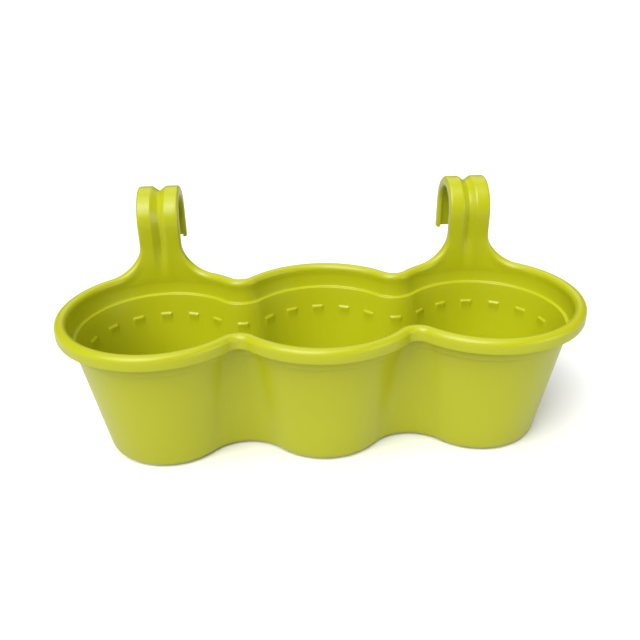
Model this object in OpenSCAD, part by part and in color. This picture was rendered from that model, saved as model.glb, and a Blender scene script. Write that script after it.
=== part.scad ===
// Balcony planter: three round pots run together in one drafted trough with a rolled rim.
// Two over-rail hooks rise out of the back rim, and each pot has a push-in drain plug.
// Millimetres, +Z up. The origin is the centre of the foot, on the surface that it stands on.
// The front faces -Y, and the rail hooks stand at the back, toward +Y.

/* [Lobes] */
// Distance between the centres of neighbouring pots
lobe_spacing = 133.5; // [125:0.5:142]
// Outer radius of the rim round the middle pot
mid_lobe_r = 84; // [76:0.5:90]
// Outer radius of the rim round each end pot
end_lobe_r = 82; // [76:0.5:90]
// Smallest radius of the hollow waist between two pots, at the outer edge of the rim
waist_r = 9.5; // [4:0.5:16]
// Height of the rim's top above the foot
height = 121.6; // [90:0.2:160]

/* [Wall] */
// Thickness of the wall
wall_t = 2.6; // [1.8:0.1:3.4]
// Thickness of the floor
floor_t = 2.8; // [2:0.1:4]
// Angle at which the wall leans in toward the base, in degrees
draft = 10.1; // [4:0.1:11]
// Outer radius of the rounded bottom edge
bottom_r = 8; // [5:0.5:12]
// Width of the foot, the band that the planter stands on
foot_w = 5; // [3:0.5:7]
// Height of the hollow under the floor, inside the foot
foot_h = 3; // [2:0.2:6]

/* [Rim] */
// Width of the rolled rim, from its inner face to its outer face
rim_w = 9.6; // [7:0.1:11]
// Height of the rim's outer skirt
rim_h = 11.3; // [10:0.1:20]
// Thickness of the rim
rim_t = 2.4; // [1.6:0.1:2.8]
// Radius of the rim's rounded top edges, up to half of its width
rim_r = 4.6; // [1:0.1:5.2]
// Depth of the rim's inner leg, down to the top of the trough
rim_leg = 10; // [8:0.1:11]

/* [Ledge and stacking lugs] */
// Depth of the inner ledge below the rim's top
ledge_drop = 19.4; // [15:0.2:24]
// Width of the inner ledge
ledge_w = 3; // [2.4:0.1:7]
// Radius that breaks the ledge's edges
ledge_r = 0.8; // [0.4:0.1:1.2]
// Depth of the lugs' tops below the rim's top
lug_drop = 36.5; // [30:0.5:60]
// Width of a lug
lug_w = 8; // [5:0.2:9]
// Height of a lug, from its flat top to the point where it runs out
lug_h = 12; // [4:0.2:20]
// How far a lug stands out from the wall
lug_out = 2.4; // [1.5:0.1:5]

/* [Hooks] */
// Distance between the centre lines of the two hooks
hook_spacing = 276; // [262:1:284]
// Width of a hook's strap
strap_w = 36.2; // [30:0.2:44]
// Widest rail that a hook goes over
rail_gap = 40; // [30:0.5:60]
// Height of a hook's top above the rim
hook_h = 69.6; // [60:0.5:90]
// Length of a hook's back leg, below its round top
leg_l = 26; // [10:0.5:40]
// Depth of a hook's strap, from its front face to the back of its flanges
strap_d = 8.6; // [7:0.1:11]
// How far a hook's front face stands behind the rim's inner face
hook_setback = 1.2; // [0:0.1:2]
// Radius of the flare where a hook's edge runs down into the rim
flare_r = 25; // [15:0.5:28]
// Width of the groove down the middle of the strap
groove_w = 13; // [8:0.2:16]
// Depth of the groove
groove_d = 4; // [2:0.1:5]
// Radius of the strap's rounded front edges
strap_r = 2.2; // [1:0.1:3]
// Height of the small bead along the strap's back edges
bead_h = 0.8; // [0.4:0.1:1.6]

/* [Drain plugs] */
// Radius of a drain hole
drain_r = 6; // [4:0.1:9]
// Gap between a plug's stem and its hole, all round
plug_gap = 0.05; // [0.02:0.01:0.1]
// How far the collar round a drain hole hangs below the floor
collar_h = 1.8; // [1:0.1:1.9]
// Wall of the collar round a drain hole
collar_t = 2.4; // [1.6:0.1:4]
// Radius of a plug's flange
flange_r = 10; // [9.5:0.1:14]
// Thickness of a plug's flange
flange_t = 1.8; // [1.2:0.1:3]
// Radius of a plug's grip
grip_r = 4.2; // [3:0.1:6]
// Height of a plug's grip above its flange
grip_h = 8; // [6:0.5:14]
// Radius of the neck under a plug's grip
neck_r = 2.6; // [1.8:0.1:2.9]
// Bevel on a plug's edges
plug_bevel = 0.6; // [0.2:0.1:0.8]

/* [Hidden] */
lime = [0.74, 0.77, 0.16];
lime_dark = [0.62, 0.65, 0.12];

// Shares: of the plate's half width that an edge takes, and of a plug's grip below its head
edge_share = 0.75;
knob_neck_share = 0.5;
knob_head_share = 0.67;
// The gap between an end pot's lugs at the planter's end is wider than the others by this share
end_gap_share = 0.644;
// Angle of the flare at which the rim's skirt has run out
skirt_turn = 75;

// Counts of facets and copies
corner_steps = 3;
bottom_steps = 3;
plate_steps = 3;
flare_steps = 6;
mid_lugs = 5;
end_lugs = 12;
waist_steps = 1;
rim_step_angle = 7.5;
$fn = 64;

// Small breaks that keep neighbouring edges apart
lug_break = 0.5;
web_break = 1;
top_break = 0.1;
overrun = 1;
// Least room left on the floor between the feet of a waist's front and back
neck_room = 4;

// Levels above the foot
leg_z = height - rim_leg;
ledge_z = height - ledge_drop;
lug_z = height - lug_drop;
floor_z = foot_h + floor_t;
lean = tan(draft);

// Insets from the rim's outer edge: each surface's distance inward at its own level
band_in = rim_w + (leg_z - ledge_z) * lean;
wall_in_top = band_in + ledge_w;
function wall_in(z) = wall_in_top + (ledge_z - z) * lean;
function wall_out(z) = wall_in(z) - wall_t / cos(draft);
shelf_z = ledge_z - wall_t;
band_out = band_in - rim_t;

// Rounded bottom edge: centre inset of the outer arc, and of the inner arc inside it
bottom_in = wall_out(bottom_r * (1 - sin(draft))) + bottom_r * cos(draft);
inner_r = bottom_r - wall_t;
inner_in = wall_in(floor_z + inner_r * (1 - sin(draft))) + inner_r * cos(draft);

// Radius of the arc that touches both pots and leaves neck_half from it to the row's middle: its
// centre is neck_from + neck_per_r * r along the row, and r solves a quadratic equation
neck_half = bottom_in + foot_w + neck_room / 2;
neck_from = (pow(lobe_spacing, 2) + pow(mid_lobe_r, 2) - pow(end_lobe_r, 2)) / (2 * lobe_spacing);
neck_per_r = (mid_lobe_r - end_lobe_r) / lobe_spacing;
neck_slope = 2 * (mid_lobe_r - neck_half - neck_from * neck_per_r);
neck_rest = pow(neck_from, 2) + pow(neck_half, 2) - pow(mid_lobe_r, 2);
neck_arc_r = 2 * neck_rest
             / (neck_slope + sqrt(pow(neck_slope, 2) - 4 * pow(neck_per_r, 2) * neck_rest));
waist_arc_r = max(waist_r, neck_arc_r);

// Centre of the waist arc between the middle pot and the right pot
waist_x = neck_from + neck_per_r * waist_arc_r;
waist_y = sqrt(pow(mid_lobe_r + waist_arc_r, 2) - pow(waist_x, 2));
end_angle = atan2(waist_y, waist_x - lobe_spacing);
mid_angle = atan2(waist_y, waist_x);

// The rim's outer outline as tangent arcs, anticlockwise from the right pot:
// centre x, centre y, radius, first angle, last angle, 1 for a pot or -1 for a waist
ARCS = [
    [lobe_spacing, 0, end_lobe_r, -end_angle, end_angle, 1],
    [waist_x, waist_y, waist_arc_r, end_angle - 180, mid_angle - 180, -1],
    [0, 0, mid_lobe_r, mid_angle, 180 - mid_angle, 1],
    [-waist_x, waist_y, waist_arc_r, -mid_angle, -end_angle, -1],
    [-lobe_spacing, 0, end_lobe_r, 180 - end_angle, 180 + end_angle, 1],
    [-waist_x, -waist_y, waist_arc_r, end_angle, mid_angle, -1],
    [0, 0, mid_lobe_r, 180 + mid_angle, 360 - mid_angle, 1],
    [waist_x, -waist_y, waist_arc_r, 180 - mid_angle, 180 - end_angle, -1]
];

// A point on an arc of the outline, moved inward
function arc_point(arc, angle, inset) =
    let (r = arc[2] - arc[5] * inset)
    [arc[0] + r * cos(angle), arc[1] + r * sin(angle)];

// Places along an arc as [share of the arc, 1 on a lug or 0 off it], with count lugs on it
function lug_half(arc) = (lug_w / 2) / (arc[2] - arc[5] * wall_in(lug_z)) * 180 / PI;
function break_angle(arc) = lug_break / (arc[2] - arc[5] * wall_in(lug_z)) * 180 / PI;
function lug_places(arc, count, wider = 0) =
    let (
        span = abs(arc[4] - arc[3]),
        half = lug_half(arc),
        edge = break_angle(arc),
        first = count == 1 ? span / 2 : half + 2 * edge,
        step = count == 1 ? 0 : (span - 2 * first) / (count - 1 + wider),
        lead = first - half - edge,
        lead_steps = count == 1 ? waist_steps : 0
    )
    concat(
        [for (i = [0 : lead_steps]) [i * lead / (lead_steps + 1) / span, 0]],
        [for (k = [0 : count - 1])
            let (
                turn = first + (k + (k < count / 2 ? 0 : wider)) * step,
                gap = step * (1 + (k == count / 2 - 1 ? wider : 0))
            )
            for (item = [[-half - edge, 0], [-half, 1], [half, 1], [half + edge, 0], [gap / 2, 0]])
                if (item[0] != gap / 2 || k < count - 1)
                    [(turn + item[0]) / span, item[1]]],
        [for (i = [1 : 1 : lead_steps]) [1 - lead / span + i * lead / (lead_steps + 1) / span, 0]]
    );

// Every place on an arc as [arc, angle, 1 on a lug or 0 off it], without the arc's far end
function arc_places(arc) = [
    for (p = arc[5] < 0 ? lug_places(arc, 1)
             : arc[0] == 0 ? lug_places(arc, mid_lugs) : lug_places(arc, end_lugs, end_gap_share))
        [arc, arc[3] + p[0] * (arc[4] - arc[3]), p[1]]
];

// The rim's section as [depth below the top edge, distance outward from the inner face]:
// inner leg, rounded top, skirt and the hollow under it. Leg and skirt lengths are given, the
// radius of the top edges, and the width from face to face.
function lip(leg, skirt, r, w) = concat(
    [[leg, 0]],
    [for (i = [0 : corner_steps]) let (a = 90 * i / corner_steps)
        [r * (1 - sin(a)), r * (1 - cos(a))]],
    [for (i = [0 : corner_steps]) let (a = 90 * i / corner_steps)
        [r * (1 - cos(a)), w - r * (1 - sin(a))]],
    [[skirt, w], [skirt, w - rim_t],
     [rim_t + min(web_break, (skirt - rim_t) / 2), w - rim_t], [rim_t, w - rim_t - web_break],
     [rim_t, rim_t + web_break], [rim_t + web_break, rim_t], [leg, rim_t]]
);

function reversed(list) = [for (i = [len(list) - 1 : -1 : 0]) list[i]];

// Skin over rows of points that are closed loops; caps are lists of loops of point numbers
module skin(rows, first_caps, last_caps) {
    n = len(rows[0]);
    sides = [
        for (j = [0 : len(rows) - 2], i = [0 : n - 1])
            let (a = j * n + i, b = j * n + (i + 1) % n)
            each [[a, b + n, b], [a, a + n, b + n]]
    ];
    polyhedron(points = [for (row = rows) each row], faces = concat(first_caps, sides, last_caps));
}

function loop(n, first) = [for (i = [0 : n - 1]) first + i];

// Profile of the trough's wall as [inset, height, how far a lug stands out]: from the floor's edge
// up the inside, past lugs and ledge, over the land that carries the rim, and down the outside
floor_in = max(bottom_in, inner_in) + web_break;
WALL_LEVELS = concat(
    [for (i = [0 : bottom_steps]) let (a = (90 - draft) * i / bottom_steps)
        [inner_in - inner_r * sin(a), floor_z + inner_r * (1 - cos(a)), 0]],
    [[wall_in(lug_z - lug_h), lug_z - lug_h, 0],
     [wall_in(lug_z - lug_break), lug_z - lug_break, lug_out], [wall_in(lug_z), lug_z, 0],
     [wall_in(ledge_z - ledge_r), ledge_z - ledge_r, 0], [wall_in_top - ledge_r, ledge_z, 0],
     [band_in, ledge_z, 0], [rim_w, leg_z, 0], [rim_w - rim_t, leg_z, 0], [band_out, shelf_z, 0],
     [wall_out(shelf_z - web_break), shelf_z - web_break, 0]],
    [for (i = [bottom_steps : -1 : 0]) let (a = (90 - draft) * i / bottom_steps)
        [bottom_in - bottom_r * sin(a), bottom_r * (1 - cos(a)), 0]],
    [[floor_in, 0, 0], [floor_in, floor_z, 0]]
);

// The wall's profile at one place
function wall_profile(p) = [
    for (level = WALL_LEVELS) concat(arc_point(p[0], p[1], level[0] + level[2] * p[2]), level[1])
];

// A stretch of wall over neighbouring arcs, closed at both ends
module wall(arcs) {
    n = len(WALL_LEVELS);
    rows = concat(
        [for (k = arcs) each [for (p = arc_places(ARCS[k % 8])) wall_profile(p)]],
        [wall_profile(arc_places(ARCS[(arcs[len(arcs) - 1] + 1) % 8])[0])]
    );
    color(lime)
        skin(rows, [loop(n, 0)], [reversed(loop(n, n * (len(rows) - 1)))]);
}

module left_pot_wall() { wall([3, 4, 5]); }
module right_pot_wall() { wall([7, 8, 9]); }
module middle_front_wall() { wall([6]); }
module middle_back_wall() { wall([2]); }

// The three-lobed outline as a flat shape
module plan(inset) {
    polygon([for (arc = ARCS, p = arc_places(arc)) arc_point(p[0], p[1], inset)]);
}

module trough_floor() {
    color(lime)
    difference() {
        union() {
            translate([0, 0, foot_h])
                linear_extrude(floor_t)
                    plan(floor_in);
            linear_extrude(foot_h)
                difference() {
                    plan(floor_in);
                    plan(bottom_in + foot_w);
                }
            for (x = [-lobe_spacing, 0, lobe_spacing])
                translate([x, 0, foot_h - collar_h])
                    cylinder(r = drain_r + collar_t, h = collar_h + floor_t / 2);
        }
        for (x = [-lobe_spacing, 0, lobe_spacing])
            translate([x, 0, foot_h - collar_h - overrun])
                cylinder(r = drain_r, h = collar_h + floor_t + 2 * overrun);
    }
}

// Where the hooks' roots cut the rim, as angles on the end pots' arcs
inner_face_r = end_lobe_r - rim_w;
root_half = strap_w / 2 + flare_r;
root_angle = root_half / inner_face_r * 180 / PI;
hook_x = hook_spacing / 2;
hook_angle = acos((hook_x - lobe_spacing) / inner_face_r);

// The rim's section at one place on the outline
rim_round = min(rim_r, rim_w / 2 - top_break);
RIM = lip(rim_leg, rim_h, rim_round, rim_w);
function rim_section(arc, angle) = [
    for (p = RIM) concat(arc_point(arc, angle, rim_w - p[1]), height - p[0])
];

// A stretch of rim along one arc, from one angle to another; the last section is left out
function rim_run(arc, a0, a1) =
    let (n = max(2, ceil(abs(a1 - a0) / (arc[5] > 0 ? rim_step_angle : 2 * rim_step_angle))))
    [for (i = [0 : n - 1]) rim_section(arc, a0 + (a1 - a0) * i / n)];

function whole_run(arc) = rim_run(arc, arc[3], arc[4]);

module rim(rows) {
    n = len(rows[0]);
    color(lime)
        skin(rows, [loop(n, 0)], [reversed(loop(n, n * (len(rows) - 1)))]);
}

// From the left hook round the left end, the front and the right end to the right hook
module front_rim() {
    first = 180 - (hook_angle - root_angle);
    last = hook_angle - root_angle;
    rim(concat(
        rim_run(ARCS[4], first, ARCS[4][4]),
        [for (k = [5 : 7]) each whole_run(ARCS[k])],
        rim_run(ARCS[0], ARCS[0][3], last),
        [rim_section(ARCS[0], last)]
    ));
}

// Along the back between the two hooks
module back_rim() {
    first = hook_angle + root_angle;
    last = 180 - first;
    rim(concat(
        rim_run(ARCS[0], first, ARCS[0][4]),
        [for (k = [1 : 3]) each whole_run(ARCS[k])],
        rim_run(ARCS[4], ARCS[4][3], last),
        [rim_section(ARCS[4], last)]
    ));
}

// The strap's path: its front face stands at strap_y, rises to the round top and comes down behind
strap_y = inner_face_r + hook_setback;
arc_r = rail_gap / 2 + strap_d;
arc_z = height + hook_h - arc_r;
leg_tip_z = arc_z - leg_l;
flare_z = height + flare_r;
plate_leg = (strap_w - groove_w) / 2 * edge_share;

function smooth(s) = s * s * (3 - 2 * s);

// A point of the right hook's root, from the middle of the strap's front face. across runs along
// the rim's inner face, depth runs outward from it, and flat turns the pot's curve to a plane.
function root_point(across, z, depth, flat) =
    let (
        a = hook_angle - across / inner_face_r * 180 / PI,
        r = inner_face_r + depth,
        curved = [lobe_spacing - hook_x + r * cos(a), r * sin(a) - strap_y],
        plane = [across, depth]
    )
    concat(curved * (1 - flat) + plane * flat, z);

// One row across a hook's root, at an angle along the flare, as a closed loop of points
function root_row(turn) =
    let (
        s = 1 - cos(turn),
        flat = smooth(s),
        leg = rim_leg + (plate_leg - rim_leg) * flat,
        least = rim_t + bead_h,
        skirt = least + (rim_h - least) * (1 - smooth(min(1, turn / skirt_turn))),
        top_r = rim_round + (strap_r - rim_round) * flat,
        edge = [for (p = lip(leg, skirt, top_r, rim_w + (strap_d - rim_w) * flat))
            [root_half - (flare_r + p[0]) * sin(turn), flare_z - (flare_r + p[0]) * cos(turn), p[1]]],
        stub = edge[0][0],
        z = edge[0][1]
    )
    [for (p = section_loop(edge, stub, z, groove_d * flat)) root_point(p[0], p[1], p[2], flat)];

// Joins a right edge, its mirror image and the plate between them, front and back
function section_loop(edge, stub, z, groove) =
    let (
        half = groove_w / 2,
        steps = [for (i = [1 : plate_steps - 1]) stub + (half - stub) * i / plate_steps]
    )
    concat(
        [for (x = reversed(steps)) [x, z, 0]],
        edge,
        [for (x = steps) [x, z, rim_t]],
        [[half, z, rim_t], [0, z, rim_t + groove], [-half, z, rim_t]],
        [for (x = reversed(steps)) [-x, z, rim_t]],
        [for (p = reversed(edge)) [-p[0], p[1], p[2]]],
        [for (x = steps) [-x, z, 0]],
        [[-half, z, 0], [0, z, groove], [half, z, 0]]
    );

// The strap's own section, the same all the way along: points as [across, depth]
STRAP = [
    for (p = section_loop(
        [for (q = lip(plate_leg, rim_t + bead_h, strap_r, strap_d)) [strap_w / 2 - q[0], 0, q[1]]],
        strap_w / 2 - plate_leg, 0, groove_d))
        [p[0], p[2]]
];

ROOT_ROWS = [for (i = [0 : flare_steps]) root_row(90 * i / flare_steps)];

// The flared root, from the rim and the wall's land up to the straight neck. Each end is closed
// by a face over either edge and a row of four-sided faces across the plate between them.
module hook_root() {
    n = len(ROOT_ROWS[0]);
    k = len(RIM);
    right_first = plate_steps - 1;
    back_first = right_first + k - 1;
    plate_points = 2 * plate_steps + 2;
    left_first = back_first + plate_points;
    front = [for (i = [0 : plate_points]) (right_first - i + n) % n];
    back = [for (i = [0 : plate_points]) back_first + i];
    caps = concat(
        [loop(k, right_first), loop(k, left_first)],
        [for (i = [0 : plate_points - 1]) [front[i], back[i], back[i + 1], front[i + 1]]]
    );
    skin(ROOT_ROWS, caps, [for (cap = caps) reversed([for (i = cap) n * flare_steps + i])]);
}

module right_hook_root() {
    color(lime)
    translate([hook_x, strap_y, 0])
        hook_root();
}

// The strap: straight neck, half round over the rail and the short leg behind it
module right_hook() {
    color(lime)
    translate([hook_x, strap_y, 0])
    union() {
        translate([0, 0, flare_z])
            linear_extrude(arc_z - flare_z)
                polygon(STRAP);
        translate([0, arc_r, arc_z])
            rotate([90, 0, -90])
                rotate_extrude(angle = 180)
                    polygon([for (p = STRAP) [arc_r - p[1], p[0]]]);
        translate([0, 2 * arc_r, leg_tip_z])
            linear_extrude(leg_l)
                polygon([for (p = STRAP) [p[0], -p[1]]]);
    }
}

module left_hook_root() { mirror([1, 0, 0]) right_hook_root(); }
module left_hook() { mirror([1, 0, 0]) right_hook(); }

// A drain plug: stem in the hole, flange on the floor, neck and grip above it
module drain_plug(x) {
    stem_r = drain_r - plug_gap;
    stem_z = foot_h - collar_h;
    top_z = floor_z + flange_t;
    knob_z = top_z + grip_h;
    color(lime_dark)
    translate([x, 0, 0])
    rotate_extrude()
        polygon([
            [0, stem_z], [stem_r - plug_bevel, stem_z], [stem_r, stem_z + plug_bevel],
            [stem_r, floor_z], [flange_r, floor_z], [flange_r, top_z - plug_bevel],
            [flange_r - plug_bevel, top_z], [neck_r, top_z], [neck_r, top_z + grip_h * knob_neck_share],
            [grip_r, top_z + grip_h * knob_head_share], [grip_r, knob_z - plug_bevel],
            [grip_r - plug_bevel, knob_z], [0, knob_z]
        ]);
}

module left_drain_plug() { drain_plug(-lobe_spacing); }
module middle_drain_plug() { drain_plug(0); }
module right_drain_plug() { drain_plug(lobe_spacing); }

left_pot_wall();
right_pot_wall();
middle_front_wall();
middle_back_wall();
trough_floor();
front_rim();
back_rim();
left_hook_root();
right_hook_root();
left_hook();
right_hook();
left_drain_plug();
middle_drain_plug();
right_drain_plug();
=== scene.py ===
# %% [markdown]
# # A balcony planter, skin by skin
#
# The real object is one injection moulding: three round pots run together in a drafted trough
# with a rolled rim, and two hooks for a railing grow out of the back of that rim. Three small
# plugs close its drain holes. The construction model holds the moulding as separate solids, and
# this script gives it one seamless skin, then a finish, light and a camera.
#
# Everything is in metres, in the frame of the construction model: +X runs along the row of pots,
# +Y toward the railing and +Z up.

# %% Load the frame
from math import acos, atan2, cos, degrees, hypot, pi, radians, sin, sqrt, tan

import bmesh
import bpy
from mathutils import Matrix, Vector


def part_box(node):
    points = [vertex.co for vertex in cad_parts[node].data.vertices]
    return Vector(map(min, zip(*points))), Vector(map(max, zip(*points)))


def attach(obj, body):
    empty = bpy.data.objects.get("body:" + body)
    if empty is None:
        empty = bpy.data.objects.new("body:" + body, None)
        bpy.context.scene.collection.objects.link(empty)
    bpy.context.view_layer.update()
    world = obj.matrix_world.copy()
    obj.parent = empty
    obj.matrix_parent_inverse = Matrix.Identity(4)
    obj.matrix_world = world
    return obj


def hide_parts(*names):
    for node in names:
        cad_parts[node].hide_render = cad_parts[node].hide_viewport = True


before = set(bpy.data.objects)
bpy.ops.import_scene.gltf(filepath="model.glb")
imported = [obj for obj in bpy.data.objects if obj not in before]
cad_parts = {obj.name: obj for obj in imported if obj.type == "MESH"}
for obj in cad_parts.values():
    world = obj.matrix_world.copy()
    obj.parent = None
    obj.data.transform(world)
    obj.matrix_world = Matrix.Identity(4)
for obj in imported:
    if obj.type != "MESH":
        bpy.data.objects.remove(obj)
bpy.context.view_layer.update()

# %% [markdown]
# ## The camera
#
# The planter was photographed from a little above the rim and almost square to its front, from
# about two thirds of a metre. The camera could be placed by eye, but then every curve would be a
# few pixels off, so its place, turn and focal length were worked out from the outline of the
# pots, the rim and the hooks. The small shift keeps the frame where the picture was cropped.

# %% Camera
picture_px = 640
focal_px = 727.43
centre_px = (313.07, 333.46)
camera_place = Vector((-0.03855, -0.53582, 0.38021))
camera_yaw = 0.0562
camera_pitch = 0.4931
camera_roll = 0.0182


def camera_axes(yaw, pitch, roll):
    """The camera's right, up and backward directions, as the columns of a matrix."""
    forward = Vector((sin(yaw) * cos(pitch), cos(yaw) * cos(pitch), -sin(pitch)))
    level = Vector((cos(yaw), -sin(yaw), 0))
    down = forward.cross(level)
    right = cos(roll) * level + sin(roll) * down
    up = sin(roll) * level - cos(roll) * down
    return Matrix((right, up, -forward)).transposed()


lens = bpy.data.cameras.new("camera")
lens.sensor_width = 36
lens.lens = focal_px / picture_px * lens.sensor_width
lens.shift_x = (picture_px / 2 - centre_px[0]) / picture_px
lens.shift_y = (centre_px[1] - picture_px / 2) / picture_px
camera = bpy.data.objects.new("camera", lens)
axes = camera_axes(camera_yaw, camera_pitch, camera_roll)
camera.matrix_world = Matrix.Translation(camera_place) @ axes.to_4x4()
bpy.context.collection.objects.link(camera)
bpy.context.scene.camera = camera
bpy.context.scene.view_settings.view_transform = "Standard"
print("camera: lens", round(lens.lens, 2), "mm")

# %% [markdown]
# ## Floor and backdrop
#
# The picture is a cut-out on white. A real studio would use a white sweep: a floor that curves up
# into a wall. Here a wide flat floor is enough, because the world behind it is just as white to
# the camera. The floor throws back less light than the camera sees in it, because the lower
# walls of the planter would be too bright otherwise; the shadow on it stays pale.

# %% Floor's finish
floor_seen = (1, 1, 1, 1)
floor_bounce = (0.70, 0.70, 0.70, 1)


def new_material(name):
    """An empty node material: its node tree, and a function that adds a node with its inputs."""
    material = bpy.data.materials.new(name)
    material.use_nodes = True
    tree = material.node_tree
    tree.nodes.clear()

    def add(kind, **inputs):
        node = tree.nodes.new("ShaderNode" + kind)
        for key, value in inputs.items():
            socket = node.inputs[key.replace("_", " ")]
            if isinstance(value, bpy.types.NodeSocket):
                tree.links.new(value, socket)
            else:
                socket.default_value = value
        return node

    return material, tree, add


def floor_material():
    """Diffuse white that the camera sees brighter than the planter does."""
    material, tree, add = new_material("studio_floor")
    seen = add("BsdfDiffuse", Color=floor_seen)
    bounce = add("BsdfDiffuse", Color=floor_bounce)
    path = add("LightPath")
    mix = add("MixShader", Fac=path.outputs["Is Camera Ray"])
    tree.links.new(bounce.outputs[0], mix.inputs[1])
    tree.links.new(seen.outputs[0], mix.inputs[2])
    output = add("OutputMaterial")
    tree.links.new(mix.outputs[0], output.inputs["Surface"])
    return material


floor_white = floor_material()
print("floor's finish:", floor_white.name, "throws back", floor_bounce[0])

# %% [markdown]
# ## The floor's sheet
#
# One level square is enough for the floor. It lies at height zero, where the planter's foot
# stands, and reaches so far that this camera never sees its edge. A plane from Blender's own menu
# would be the same; four corners written out show what a mesh is.

# %% Floor
floor_half = 10.0


def flat_sheet(name, half, z):
    """A level square sheet, given by half its width and its height."""
    mesh = bpy.data.meshes.new(name)
    corners = [(-half, -half, z), (half, -half, z), (half, half, z), (-half, half, z)]
    mesh.from_pydata(corners, [], [(0, 1, 2, 3)])
    sheet = bpy.data.objects.new(name, mesh)
    bpy.context.collection.objects.link(sheet)
    return sheet


studio_floor = flat_sheet("studio_floor", floor_half, 0)
studio_floor.data.materials.append(floor_white)
print("floor:", 2 * floor_half, "m wide")

# %% [markdown]
# ## Light
#
# Three things in the photograph tell where its light stood. The inside walls at the left are in
# shade while those at the right are bright, so the main light stood at the upper left. The whole
# top of the rim shines in a band about five millimetres wide, so that light was very large. The
# backs of the hooks aren't black, so a weaker one stood behind. Two low fills keep the planter's
# ends from going dark. Each is a lamp that shines evenly from a wide patch of sky, as a softbox
# or a bright ceiling does. Area lamps would do as well, but they would light the floor unevenly.

# %% Lamps
lamp_distance = 2


def softbox(name, bearing, height, width, strength):
    """An even soft light: where it stands and how wide it looks, in degrees, and its strength."""
    data = bpy.data.lights.new(name, "SUN")
    data.angle = radians(width)
    data.energy = strength
    lamp = bpy.data.objects.new(name, data)
    toward = Vector((cos(radians(bearing)) * cos(radians(height)),
                     sin(radians(bearing)) * cos(radians(height)), sin(radians(height))))
    lamp.location = toward * lamp_distance
    lamp.rotation_euler = (-toward).to_track_quat("-Z", "Y").to_euler()
    bpy.context.collection.objects.link(lamp)


softbox("key_lamp", -125, 47, 46, 2.65)
softbox("top_lamp", -125, 76, 50, 1.5)
softbox("back_lamp", 85, 45, 50, 0.65)
softbox("right_fill", -30, 9, 40, 0.9)
softbox("left_fill", -165, 9, 40, 0.2)

# %% [markdown]
# ## The white around it
#
# The cut-out's white is no lit wall, so the backdrop can be the world itself. The camera sees it
# as pure white, while the planter gets only a faint even light from it, because a bright world
# would wash out the shading inside the pots. A white wall would need a lamp of its own.

# %% World
world_strength = 0.04


def white_world():
    """An even white world; the camera sees it as pure white."""
    world = bpy.data.worlds.new("studio")
    world.use_nodes = True
    tree = world.node_tree
    tree.nodes.clear()
    light = tree.nodes.new("ShaderNodeBackground")
    light.inputs["Strength"].default_value = world_strength
    seen = tree.nodes.new("ShaderNodeBackground")
    seen.inputs["Color"].default_value = (1, 1, 1, 1)
    seen.inputs["Strength"].default_value = 1
    path = tree.nodes.new("ShaderNodeLightPath")
    mix = tree.nodes.new("ShaderNodeMixShader")
    output = tree.nodes.new("ShaderNodeOutputWorld")
    tree.links.new(path.outputs["Is Camera Ray"], mix.inputs[0])
    tree.links.new(light.outputs[0], mix.inputs[1])
    tree.links.new(seen.outputs[0], mix.inputs[2])
    tree.links.new(mix.outputs[0], output.inputs["Surface"])
    bpy.context.scene.world = world


white_world()
print("world strength:", world_strength)

# %% [markdown]
# ## The plastic
#
# The planter is moulded in a lime polypropylene. It is coloured right through, a little
# translucent, and half glossy: the mould was polished, but not to a mirror. Up close such a
# surface has very fine, shallow waves, and slightly duller patches where it has been handled.
# A Principled surface carries this: noise at two scales moves its roughness and its bump, and a
# very slow noise moves the colour by a hair. A picture texture would do the same, but would need
# unwrapping, and would blur close up.

# %% Plastic
lime_colour = (0.465, 0.483, 0.008, 1)
plug_colour = (0.36, 0.40, 0.012, 1)
lime_roughness = 0.30
plug_roughness = 0.45
plastic_ior = 1.49
plastic_specular = 0.45
bump_strength = 0.12
bump_depth = 0.00008
wave_scale = 900.0
patch_scale = 35.0
drift_scale = 9.0
drift = 0.05
shinier = 0.05
duller = 0.07


def plastic(name, colour, roughness):
    """Half-glossy plastic of one colour, with fine waves, dull patches and a slow drift."""
    material, tree, add = new_material(name)
    place = add("TexCoord").outputs["Object"]
    waves = add("TexNoise", Vector=place, Scale=wave_scale, Detail=3.0)
    patches = add("TexNoise", Vector=place, Scale=patch_scale, Detail=4.0)
    slow = add("TexNoise", Vector=place, Scale=drift_scale, Detail=2.0)
    pale = tuple(channel * (1 + drift) for channel in colour[:3]) + (1,)
    deep = tuple(channel * (1 - drift) for channel in colour[:3]) + (1,)
    # a Mix node for colours takes them at inputs 6 and 7 and gives the result at output 2
    tint = add("Mix")
    tint.data_type = "RGBA"
    tree.links.new(slow.outputs[0], tint.inputs[0])
    tint.inputs[6].default_value = deep
    tint.inputs[7].default_value = pale
    rough = add("MapRange", Value=patches.outputs[0])
    rough.inputs["To Min"].default_value = roughness - shinier
    rough.inputs["To Max"].default_value = roughness + duller
    bump = add("Bump", Strength=bump_strength, Distance=bump_depth, Height=waves.outputs[0])
    surface = add("BsdfPrincipled", Base_Color=tint.outputs[2], Roughness=rough.outputs[0],
                  IOR=plastic_ior, Normal=bump.outputs[0])
    surface.inputs["Specular IOR Level"].default_value = plastic_specular
    output = add("OutputMaterial")
    tree.links.new(surface.outputs[0], output.inputs["Surface"])
    return material


lime_plastic = plastic("lime_plastic", lime_colour, lime_roughness)
plug_plastic = plastic("plug_plastic", plug_colour, plug_roughness)
print("materials:", lime_plastic.name, plug_plastic.name)

# %% [markdown]
# ## The outline: eight tangent arcs
#
# Seen from above, the rim is three round pots joined by hollow waists. The waists are arcs that
# touch both neighbours, so the whole outline is eight arcs that meet without a kink. Every level
# of the trough is the same outline moved inward, so one function of an arc, an angle and a
# distance gives every point of the wall. The sizes repeat those of the construction model.

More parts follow.
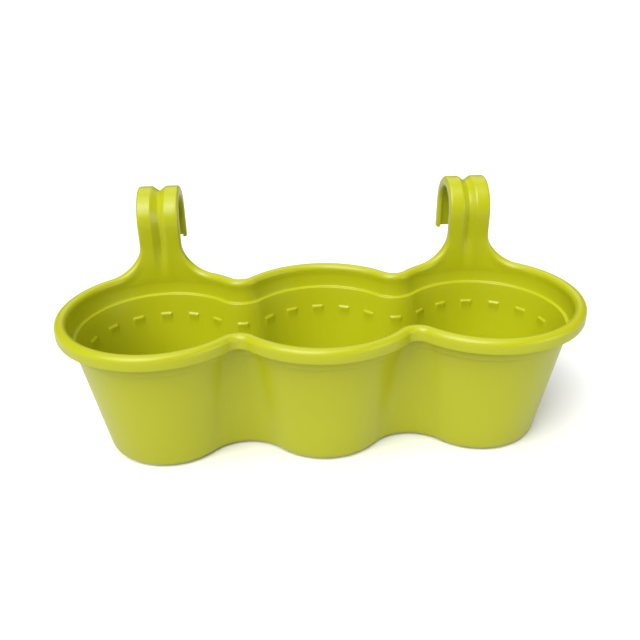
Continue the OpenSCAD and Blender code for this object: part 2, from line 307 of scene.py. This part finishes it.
# %% Outline
plug_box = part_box("right_drain_plug")
pot_spacing = (plug_box[0][0] + plug_box[1][0]) / 2
middle_r = 0.084
end_r = 0.082
waist_r = 0.0095
top_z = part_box("back_rim")[1][2]

reach_gap = (middle_r + waist_r) ** 2 - (end_r + waist_r) ** 2
waist_x = (reach_gap + pot_spacing ** 2) / (2 * pot_spacing)
waist_y = sqrt((middle_r + waist_r) ** 2 - waist_x ** 2)
end_turn = degrees(atan2(waist_y, waist_x - pot_spacing))
middle_turn = degrees(atan2(waist_y, waist_x))

# centre x, centre y, radius, first and last angle, and 1 for a pot or -1 for a waist
ARCS = [
    (pot_spacing, 0, end_r, -end_turn, end_turn, 1),
    (waist_x, waist_y, waist_r, end_turn - 180, middle_turn - 180, -1),
    (0, 0, middle_r, middle_turn, 180 - middle_turn, 1),
    (-waist_x, waist_y, waist_r, -middle_turn, -end_turn, -1),
    (-pot_spacing, 0, end_r, 180 - end_turn, 180 + end_turn, 1),
    (-waist_x, -waist_y, waist_r, end_turn, middle_turn, -1),
    (0, 0, middle_r, 180 + middle_turn, 360 - middle_turn, 1),
    (waist_x, -waist_y, waist_r, 180 - middle_turn, 180 - end_turn, -1),
]
right_end = ARCS[0]
left_end = ARCS[4]


def outline_point(arc, angle, inset):
    """The point of an arc at an angle, moved inward from the rim's outer edge."""
    x, y, radius, _, _, side = arc
    reach = radius - side * inset
    return x + reach * cos(radians(angle)), y + reach * sin(radians(angle))


print("pots every", round(pot_spacing, 4), "m, waists at", round(waist_x, 4), round(waist_y, 4))

# %% [markdown]
# ## Levels of the wall
#
# The wall leans in by ten degrees, so that the moulding leaves its mould and planters stack.
# Below the rim it steps in by three millimetres. That step is the bright line that runs round the
# inside, and it carries the next planter of a stack, together with small lugs lower down. The
# lugs stand out a little less than on the construction model, because they catch only a thin line
# of light. Insets are measured from the rim's outer edge.

# %% Wall levels
wall_t = 0.0026
floor_t = 0.0028
tilt = 10.1
lean = tan(radians(tilt))
bottom_r = 0.008
foot_w = 0.005
foot_h = 0.003
rim_w = 0.0096
rim_h = 0.0113
rim_t = 0.0024
rim_r = 0.0046
rim_leg = 0.010
ledge_drop = 0.0194
ledge_w = 0.003
lug_drop = 0.0365
lug_w = 0.008
lug_h = 0.012
lug_out = 0.0013

leg_z = top_z - rim_leg
ledge_z = top_z - ledge_drop
lug_z = top_z - lug_drop
floor_z = foot_h + floor_t
band_in = rim_w + (leg_z - ledge_z) * lean


def wall_in(z):
    """Inset of the wall's inner face below the ledge."""
    return band_in + ledge_w + (ledge_z - z) * lean


def wall_out(z):
    """Inset of the wall's outer face below the ledge."""
    return wall_in(z) - wall_t / cos(radians(tilt))


inner_r = bottom_r - wall_t
bottom_in = wall_out(bottom_r * (1 - sin(radians(tilt)))) + bottom_r * cos(radians(tilt))
inner_in = wall_in(floor_z + inner_r * (1 - sin(radians(tilt)))) + inner_r * cos(radians(tilt))
print("inset of the floor's edge:", round(inner_in, 4), "m")

# %% [markdown]
# ## Where the hooks' roots stand
#
# The skin is a grid: rows are levels, and columns are places round the outline. A hook's root
# leaves the rim between two upright cuts, and its groove needs columns of its own. The cuts could
# be made with a boolean afterward, but it is simpler to start with columns exactly there.

# %% Columns of a root
hook_x = 0.138
strap_w = 0.0362
flare_r = 0.025
groove_w = 0.013
groove_d = 0.004
groove_steps = 8

face_r = end_r - rim_w
root_half = strap_w / 2 + flare_r
hook_turn = degrees(acos((hook_x - pot_spacing) / face_r))


def root_turns(left=False):
    """Angles on an end pot of its hook root's two cuts, with the columns of the groove between."""
    columns = [groove_w / 2 * (1 - 2 * i / groove_steps) for i in range(groove_steps + 1)]
    turns = [hook_turn - degrees(x / face_r) for x in [root_half, *columns, -root_half]]
    return [180 - turn for turn in turns] if left else turns


def on_root(arc, turn, beyond):
    """True between the two cuts of a hook's root, and a little beyond them."""
    if arc not in (right_end, left_end):
        return False
    turns = root_turns(left=arc is left_end)
    return min(turns) - beyond < turn < max(turns) + beyond


print("right root from", round(min(root_turns()), 1), "to", round(max(root_turns()), 1), "degrees")

# %% [markdown]
# ## Where the lugs sit
#
# The lugs are low pads on the inside wall. Each end pot has twelve, the middle pot has five at
# the front and five at the back, and each waist has one at the front and one at the back. They
# stand evenly on their arc, but for one wider gap at each end of the planter. A lug's side is a
# short slope, so that it catches a soft line of light. Small separate meshes would do as well,
# but their seams would show in the gloss.

# %% Lugs
lug_edge = 0.0006
middle_lugs = 5
end_lugs = 12
end_gap_share = 0.644
# a lug's side: distance past its edge, in lug edges, and share of its height there
LUG_SIDE = ((2.4, 0.0), (1.7, 0.2), (0.9, 0.8), (0.0, 1.0))


def lug_turns(arc):
    """Angles of the lugs' middles on an arc, and a lug's half width and edge as angles."""
    x, _, radius, first, last, side = arc
    reach = radius - side * wall_in(lug_z)
    half = degrees(lug_w / 2 / reach)
    edge = degrees(lug_edge / reach)
    count = 1 if side < 0 else middle_lugs if x == 0 else end_lugs
    if count == 1:
        return [(first + last) / 2], half, edge
    wider = 0 if x == 0 else end_gap_share
    margin = half + 2 * edge
    sign = 1 if last > first else -1
    step = (last - first - 2 * sign * margin) / (count - 1 + wider)
    steps = [k + (wider if k >= count / 2 else 0) for k in range(count)]
    return [first + sign * margin + k * step for k in steps], half, edge


def lug_share(turn, middles, half, edge):
    """Share of a lug's height at an angle: 1 on a lug, 0 between two."""
    past = (min(abs(turn - middle_of_lug) for middle_of_lug in middles) - half) / edge
    for (outer, low), (inner, high) in zip(LUG_SIDE, LUG_SIDE[1:]):
        if past > inner:
            return low + (high - low) * max(0.0, outer - past) / (outer - inner)
    return 1.0


print("lugs:", sum(len(lug_turns(arc)[0]) for arc in ARCS))

# %% [markdown]
# ## Places round the outline
#
# A column every two degrees keeps the silhouette smooth, and every five degrees is enough on the
# tight waists. More stand at both sides of each lug and under the hooks' roots. A column that
# falls too close to an arc's end is left out, because slivers of faces show as streaks in the
# gloss. Equal steps all round would be simpler, but would blur the lugs or cost many more faces.

# %% Places
pot_step = 2.0
waist_step = 5.0
least_gap = 0.5
cut_slack = 1e-6


def places_on(arc):
    """Every place on one arc, as (arc, angle, share of a lug's height)."""
    first, last, side = arc[3:]
    middles, half, edge = lug_turns(arc)
    fixed = {first: 0.0}
    for middle_of_lug in middles:
        for past, share in LUG_SIDE:
            fixed[middle_of_lug - half - past * edge] = share
            fixed[middle_of_lug + half + past * edge] = share
    if arc in (right_end, left_end):
        for turn in root_turns(left=arc is left_end):
            fixed[turn] = lug_share(turn, middles, half, edge)
    sign = 1 if last > first else -1
    inner = [turn for turn in fixed if min(abs(turn - first), abs(turn - last)) > least_gap * edge]
    stops = [first] + sorted(inner, key=lambda turn: sign * turn) + [last]
    step = pot_step if side > 0 else waist_step
    places = []
    for start, end in zip(stops, stops[1:]):
        count = max(1, round(abs(end - start) / step))
        for i in range(count):
            turn = start + (end - start) * i / count
            share = fixed[start] if i == 0 else lug_share(turn, middles, half, edge)
            places.append((arc, turn, share))
    return places


PLACES = [place for arc in ARCS for place in places_on(arc)]
ROOT_ACROSS = [radians(hook_turn - turn) * face_r for arc, turn, _ in PLACES
               if arc is right_end and on_root(arc, turn, cut_slack)]
print("places round the outline:", len(PLACES), "of which under one root:", len(ROOT_ACROSS))

# %% [markdown]
# ## The rim's section
#
# The rim is an upside-down U: an inner leg that stands on the wall, a top with rounded shoulders,
# and an outer skirt with a hollow behind it. The same section, with other lengths, is the edge of
# the hook's strap, so one function draws both. A point is a depth below the top edge and a
# distance outward from the inner face.

# %% Rim section
shoulder_steps = 7
hollow_r = 0.001
skirt_round = 0.0006
skirt_round_share = 0.3
leg_steps = 3
round_steps = 3


def quarter(steps):
    """Sine and cosine of each step of a quarter turn, from 0 to 90 degrees."""
    turns = [radians(90 * i / steps) for i in range(steps + 1)]
    return [(sin(turn), cos(turn)) for turn in turns]


def lip(leg, skirt, radius, width):
    """The section from the foot of the inner leg, over the top, round the skirt and back."""
    lower = min(skirt_round, skirt_round_share * (skirt - rim_t))
    corner = min(hollow_r, (skirt - rim_t) / 2)
    inner = width - rim_t
    shoulder = quarter(shoulder_steps)
    small = quarter(round_steps)
    points = [(leg + (radius - leg) * i / leg_steps, 0.0) for i in range(leg_steps)]
    points += [(radius * (1 - s), radius * (1 - c)) for s, c in shoulder]
    points += [(radius * (1 - c), width - radius * (1 - s)) for s, c in shoulder]
    points += [(skirt - lower * (1 - s), width - lower * (1 - c)) for s, c in small]
    points += [(skirt - lower * (1 - c), inner + lower * (1 - s)) for s, c in small]
    points += [(rim_t + corner * (1 - s), inner - corner * (1 - c)) for s, c in small]
    points += [(rim_t + corner * (1 - c), rim_t + corner * (1 - s)) for s, c in small]
    points += [(leg, rim_t)]
    return points


RIM = lip(rim_leg, rim_h, rim_r, rim_w)
print("points in the rim's section:", len(RIM))

# %% [markdown]
# ## Bends and rounds
#
# Two lists of levels make the wall, one for the inside and one for the outside. Each entry is a
# height, an inset and how far a lug stands out there. Small rounds at every edge catch the light
# as moulded plastic does. A bevel modifier could add them too, but not between levels this close,
# so a round is a few levels of its own. The trough's bottom bends in the same way, only wider.

# %% Bends and rounds
edge_r = 0.0008
bottom_steps = 8


def bottom_bend(radius, low, inset):
    """Levels round the bottom corner, from the flat floor up to the leaning wall."""
    turns = [radians((90 - tilt) / bottom_steps * i) for i in range(bottom_steps + 1)]
    return [(low + radius * (1 - cos(turn)), inset - radius * sin(turn), 0) for turn in turns]


def edge_round(z, inset, rise, shift, upright_first):
    """Levels round a small edge; rise and shift are its radius, with their signs."""
    pairs = quarter(round_steps) if upright_first else [(c, s) for s, c in quarter(round_steps)]
    return [(z + rise * (1 - a), inset + shift * (1 - b), 0) for a, b in pairs]


print("levels in the bottom bend:", bottom_steps + 1, "and in a small round:", round_steps + 1)

# %% [markdown]
# ## Levels of the inside
#
# The inside runs from the floor up to the foot of the rim's leg. On its way a lug swells slowly
# out of the wall and ends in a rounded top, and further up comes the ledge. The lugs could be
# joined on afterward, but as a reach that varies along a level they need no joining at all.

# %% Inside levels
lug_steps = 6
# a lug grows out of the wall as this power of the height
lug_swell = 2.4
# a lug's top: height over lug_z, in edge radii, and share of its reach there
LUG_TOP = ((-0.5, 0.97), (0.1, 0.72), (0.6, 0.3), (1.1, 0.05))
# plain wall: heights over a lug, in edge radii, and under its foot, in metres
OVER_LUG = (1.5, 2.5)
UNDER_LUG = (0.020, 0.010, 0)


def inside_levels():
    """Levels from the floor, up over the lugs and the ledge, to the foot of the rim's leg."""
    levels = bottom_bend(inner_r, floor_z, inner_in)
    run_out = lug_z - lug_h
    for below in UNDER_LUG:
        levels.append((run_out - below, wall_in(run_out - below), 0))
    for i in range(1, lug_steps + 1):
        z = run_out + (lug_h - edge_r) * i / lug_steps
        levels.append((z, wall_in(z), lug_out * (i / lug_steps) ** lug_swell))
    for rise, share in LUG_TOP:
        z = lug_z + rise * edge_r
        levels.append((z, wall_in(z), lug_out * share))
    for rise in OVER_LUG:
        levels.append((lug_z + rise * edge_r, wall_in(lug_z + rise * edge_r), 0))
    between = (lug_z + ledge_z) / 2
    levels.append((between, wall_in(between), 0))
    levels += edge_round(ledge_z, wall_in(ledge_z), -edge_r, -edge_r, upright_first=True)
    levels += edge_round(ledge_z, band_in, edge_r, edge_r, upright_first=False)
    levels.append((leg_z, rim_w, 0))
    return levels


print("levels inside:", len(inside_levels()))

# %% [markdown]
# ## Levels of the outside
#
# The outside goes on where the inside ends. It runs down from the rim's leg, over the step and
# the bottom bend, to the foot ring. It has no lugs, so a few levels do for its plain wall. A
# solidify modifier could make it from the inside, but would press the lugs through the wall.

# %% Outside levels
# places of the plain wall's levels, as shares of the way down from the step to the bottom bend
WALL_SHARES = (0.25, 0.5, 0.75)


def outside_levels():
    """Levels from the foot of the rim's leg, down the outside, to the inside of the foot ring."""
    shelf_z = ledge_z - wall_t
    shelf_in = wall_out(shelf_z - edge_r)
    band_out = rim_w - rim_t + (leg_z - shelf_z) * lean
    levels = [(leg_z, rim_w - rim_t, 0)]
    levels += edge_round(shelf_z, band_out, edge_r, edge_r, upright_first=True)
    levels += edge_round(shelf_z, shelf_in, -edge_r, -edge_r, upright_first=False)
    for share in WALL_SHARES:
        z = shelf_z + (bottom_r - shelf_z) * share
        levels.append((z, wall_out(z), 0))
    levels += reversed(bottom_bend(bottom_r, 0, bottom_in))
    foot_in = bottom_in + foot_w
    levels += edge_round(0, foot_in, edge_r / 2, -edge_r / 2, upright_first=False)
    levels.append((foot_h, foot_in, 0))
    return levels


print("levels outside:", len(outside_levels()))

# %% [markdown]
# ## The trough's skin
#
# The moulding has no seams, so its skin shouldn't have any either. Every form is a grid of points
# with four-sided faces between its rows. The grids are gathered in one list, and are joined where
# they touch when all are there. Lofted curves would give the same wall, but not the lugs.

# %% Trough skin
class Skin:
    """Points and faces of the moulding, gathered from grids and joined at the end."""

    def __init__(self):
        self.points = []
        self.faces = []

    def grid(self, rows, closed=False, mirrored=False):
        """Adds four-sided faces between rows of points; closed rows end where they start."""
        first = len(self.points)
        width = len(rows[0])
        for row in rows:
            self.points += [(-x, y, z) if mirrored else (x, y, z) for x, y, z in row]
        for j in range(len(rows) - 1):
            for i in range(width if closed else width - 1):
                a = first + j * width + i
                b = first + j * width + (i + 1) % width
                self.faces.append((a, b, b + width, a + width))

    def lid(self, loop, mirrored=False):
        """Adds one flat face over a loop of points."""
        first = len(self.points)
        self.points += [(-x, y, z) if mirrored else (x, y, z) for x, y, z in loop]
        self.faces.append(tuple(range(first, first + len(loop))))


def level_ring(level):
    """One row of the wall: a level's points all round the outline."""
    z, inset, out = level
    return [(*outline_point(arc, turn, inset + out * share), z) for arc, turn, share in PLACES]


moulding = Skin()
moulding.grid([level_ring(level) for level in inside_levels()], closed=True)
moulding.grid([level_ring(level) for level in outside_levels()], closed=True)
print("trough skin:", len(moulding.faces), "faces")

# %% [markdown]
# ## The rim's skin
#
# The rim's section is swept along the outline, but not where a hook's root stands. There the
# root's own skin takes over, and because both start from the same section they meet without a
# seam. The sweep runs from the right hook along the back to the left hook, and from there round
# the left end, the front and the right end.

# %% Rim skin
def rim_row(arc, turn):
    """The rim's section at one place of the outline."""
    return [(*outline_point(arc, turn, rim_w - out), top_z - depth) for depth, out in RIM]


def rim_runs():
    """The two stretches of rim between the hooks' roots, as lists of rows."""
    shown = [not on_root(arc, turn, -cut_slack) for arc, turn, _ in PLACES]
    count = len(PLACES)
    starts = [i for i in range(count) if shown[i] and not shown[i - 1]]
    for start in starts:
        rows = []
        i = start
        while shown[i % count]:
            rows.append(rim_row(*PLACES[i % count][:2]))
            i += 1
        yield rows


for rows in rim_runs():
    moulding.grid(rows)
print("with the rim:", len(moulding.faces), "faces")

# %% [markdown]
# ## The section of roots and straps
#
# A hook is a thin plate, made stiff by a groove down its middle and by the rim's rolled edge
# along both sides. Plate and edges could be separate strips, but one closed section describes
# them all, for the roots and the straps alike. It has a column for each place of the pot under
# the root, so that the skins meet point on point.

# %% Plate and edges
bead_h = 0.0008
strap_d = 0.0086
strap_r = 0.0022
# share of the plate, beside the groove, that an edge takes
edge_share = 0.75
plate_leg = (strap_w - groove_w) / 2 * edge_share
strap_skirt = rim_t + bead_h


def smooth(share):
    """A share from 0 to 1 that starts and ends gently."""
    return share * share * (3 - 2 * share)


def groove(across, depth):
    """Depth of the groove at a place across the strap: a V with soft shoulders."""
    share = min(1, abs(across) / (groove_w / 2))
    return depth * (1 - (share + smooth(share)) / 2)


def plate_across(stub):
    """Places across a hook's plate, right edge to left: the pot's columns, drawn together."""
    half = groove_w / 2
    squeeze = (stub - half) / (root_half - half)
    in_groove = [max(-half, min(half, x)) for x in ROOT_ACROSS]
    return [inner + (x - inner) * squeeze for x, inner in zip(ROOT_ACROSS, in_groove)]


def section(edge, depth):
    """A closed section: right edge, back of the plate, left edge and front of the plate.

    The edge is a list of (across, height, outward); the groove goes to the given depth."""
    stub, z, _ = edge[0]
    across = plate_across(stub)[1:-1]
    back = [(x, z, rim_t + groove(x, depth)) for x in across]
    front = [(x, z, groove(x, depth)) for x in reversed(across)]
    left = [(-x, height, out) for x, height, out in reversed(edge)]
    return edge + back + left + front


print("strap:", strap_w, "m wide, its edges", strap_d, "m deep")

# %% [markdown]
# ## The hooks' roots
#
# This is the hardest form of the planter. The rim's rolled edge turns upward on both sides of the
# strap, shrinks, and becomes the strap's flange, while the wall between them turns from the pot's
# curve to a flat plate with a groove. Each row of the root is a cut through both edges and the
# plate at one angle of that turn. Blending the rows' curved and flat places by a smooth share
# gives the flare without any modelling by hand.

# %% Hook roots
flare_steps = 24
hook_setback = 0.0012
strap_y = face_r + hook_setback
flare_z = top_z + flare_r
# angle along the flare at which the skirt has shrunk to the strap's
skirt_turn = 75


def root_row(turn):
    """One row of the right hook's root, at an angle along the flare."""
    rise = 1 - cos(radians(turn))
    flat = smooth(rise)
    leg = rim_leg + (plate_leg - rim_leg) * flat
    skirt = strap_skirt + (rim_h - strap_skirt) * (1 - smooth(min(1, turn / skirt_turn)))
    radius = rim_r + (strap_r - rim_r) * flat
    width = rim_w + (strap_d - rim_w) * flat
    edge = [(root_half - (flare_r + depth) * sin(radians(turn)),
             flare_z - (flare_r + depth) * cos(radians(turn)), out)
            for depth, out in lip(leg, skirt, radius, width)]
    return [root_place(x, z, out, flat) for x, z, out in section(edge, groove_d * flat)]


def root_place(across, z, out, flat):
    """A place on the pot's curve, turned toward the strap's plane by a share."""
    turn = radians(hook_turn) - across / face_r
    reach = face_r + out
    curved = (pot_spacing + reach * cos(turn), reach * sin(turn))
    plane = (hook_x + across, strap_y + out)
    return (*(c * (1 - flat) + p * flat for c, p in zip(curved, plane)), z)


root_rows = [root_row(90 * i / flare_steps) for i in range(flare_steps + 1)]
for mirrored in (False, True):
    moulding.grid(root_rows, closed=True, mirrored=mirrored)
print("with the roots:", len(moulding.faces), "faces")

# %% [markdown]
# ## The strap's section
#
# The strap keeps one section all the way, with its groove and both edges, so its flat outline is
# worked out once. A second helper moves such an outline inward, for the rounded edge at the
# strap's tip. A bevel could round the tip too, but would also touch the edges along the strap.

# %% Strap section
def strap_section():
    """The strap's closed flat section, as (across, outward)."""
    edge = [(strap_w / 2 - depth, 0, out)
            for depth, out in lip(plate_leg, strap_skirt, strap_r, strap_d)]
    return [(x, out) for x, _, out in section(edge, groove_d)]


def drawn_in(points, amount):
    """A closed flat section moved inward, each point along the middle of its two edges."""
    moved = []
    for i, (x, y) in enumerate(points):
        before = points[i - 1]
        after = points[(i + 1) % len(points)]
        along = (after[0] - before[0], after[1] - before[1])
        length = hypot(*along) or 1
        moved.append((x - along[1] / length * amount, y + along[0] / length * amount))
    return moved


STRAP = strap_section()
print("points in the strap's section:", len(STRAP))

# %% [markdown]
# ## The straps
#
# From the root, the strap rises straight, goes over the rail in a half round and comes down
# behind it. It is one section swept along that path. The tip of the back leg is closed, with its
# edge rounded off by drawing the section in a little over the last rows. That round stays smaller
# than the section's own corners, because a section drawn in further would cross itself. A curve
# with a bevel object would sweep it as well, but its rows would not meet the root's.

# %% Straps
rail_gap = 0.040
hook_h = 0.0696
leg_l = 0.026
arc_r = rail_gap / 2 + strap_d
arc_z = top_z + hook_h - arc_r
tip_z = arc_z - leg_l
neck_steps = 4
arc_steps = 36
tip_steps = 5
tip_round = 0.0002


def strap_rows(shape):
    """Rows up the neck, over the rail, down the back leg and round the tip's edge."""
    rows = []
    for i in range(neck_steps):
        z = flare_z + (arc_z - flare_z) * i / neck_steps
        rows.append([(hook_x + x, strap_y + out, z) for x, out in shape])
    for i in range(arc_steps + 1):
        turn = pi * i / arc_steps
        rows.append([(hook_x + x, strap_y + arc_r - (arc_r - out) * cos(turn),
                      arc_z + (arc_r - out) * sin(turn)) for x, out in shape])
    for i in range(1, tip_steps + 1):
        z = arc_z + (tip_z + tip_round - arc_z) * i / tip_steps
        rows.append([(hook_x + x, strap_y + 2 * arc_r - out, z) for x, out in shape])
    for s, c in quarter(round_steps)[1:]:
        tucked = drawn_in(shape, tip_round * (1 - c))
        z = tip_z + tip_round * (1 - s)
        rows.append([(hook_x + x, strap_y + 2 * arc_r - out, z) for x, out in tucked])
    return rows


straps = strap_rows(STRAP)
for mirrored in (False, True):
    moulding.grid(straps, closed=True, mirrored=mirrored)
    moulding.lid(straps[-1], mirrored)
print("with the straps:", len(moulding.faces), "faces")

# %% [markdown]
# ## Floor and drain holes
#
# Each pot has a drain hole with a short collar under it. The holes' walls are turned, like work
# on a lathe, and the flat floor between them and the wall is filled in afterward, above and
# below, from the edges that are still open there.

# %% Drain holes
drain_r = 0.006
collar_t = 0.0024
collar_h = 0.0018
hole_round = 0.0004
turn_steps = 64


def turned(profile, x):
    """Rows of points turned round an upright axis, from a profile of (radius, height)."""
    return [[(x + r * cos(2 * pi * i / turn_steps), r * sin(2 * pi * i / turn_steps), z)
             for i in range(turn_steps)] for r, z in profile]


collar_r = drain_r + collar_t
collar_z = foot_h - collar_h
hole_profile = [(collar_r, foot_h)]
hole_profile += [(collar_r - hole_round * (1 - c), collar_z + hole_round * (1 - s))
                 for s, c in quarter(round_steps)]
hole_profile += [(drain_r, collar_z), (drain_r, floor_z - hole_round)]
hole_profile += [(drain_r + hole_round * (1 - c), floor_z - hole_round * (1 - s))
                 for s, c in quarter(round_steps)[1:]]
for x in (-pot_spacing, 0, pot_spacing):
    moulding.grid(turned(hole_profile, x), closed=True)
print("with the holes:", len(moulding.faces), "faces")

# %% [markdown]
# ## One mesh
#
# The grids meet point on point, so joining points that lie within a few thousandths of a
# millimetre closes every seam. Two flat faces with holes in them are left: the floor's top and
# its underside. Both are filled from their open edges. The result is one watertight skin.

# %% Join the skin
join_distance = 4e-6
sharp_angle = 40


def joined_mesh(name, skin, flat_levels):
    """One watertight mesh of a skin; the open edges at the flat levels are filled."""
    mesh = bpy.data.meshes.new(name)
    mesh.from_pydata(skin.points, [], skin.faces)
    work = bmesh.new()
    work.from_mesh(mesh)
    bmesh.ops.remove_doubles(work, verts=work.verts, dist=join_distance)
    for level in flat_levels:
        edges = [e for e in work.edges if e.is_boundary
                 and all(abs(v.co.z - level) < join_distance for v in e.verts)]
        bmesh.ops.triangle_fill(work, use_beauty=True, edges=edges)
    bmesh.ops.triangulate(work, faces=[f for f in work.faces if len(f.verts) > 4])
    bmesh.ops.recalc_face_normals(work, faces=work.faces)
    open_edges = sum(1 for e in work.edges if not e.is_manifold)
    work.to_mesh(mesh)
    work.free()
    mesh.shade_smooth()
    mesh.set_sharp_from_angle(angle=radians(sharp_angle))
    print(name, "faces:", len(mesh.polygons), "open edges:", open_edges)
    return mesh


planter_mesh = joined_mesh("planter_body", moulding, flat_levels=(floor_z, foot_h))
planter = bpy.data.objects.new("planter_body", planter_mesh)
bpy.context.collection.objects.link(planter)
planter.data.materials.append(lime_plastic)
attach(planter, "planter")
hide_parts("left_pot_wall", "right_pot_wall", "middle_front_wall", "middle_back_wall",
            "trough_floor", "front_rim", "back_rim", "left_hook_root", "right_hook_root",
            "left_hook", "right_hook")

# %% [markdown]
# ## Drain plugs
#
# Each plug is a stem with a flange and a grip, pushed in from above. The construction model's
# plugs have the right shape already, so they keep it and only get the plug's plastic.

# %% Plugs
for name in ("left_drain_plug", "middle_drain_plug", "right_drain_plug"):
    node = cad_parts[name]
    node.data.materials.clear()
    node.data.materials.append(plug_plastic)
    print(name, "in", plug_plastic.name)
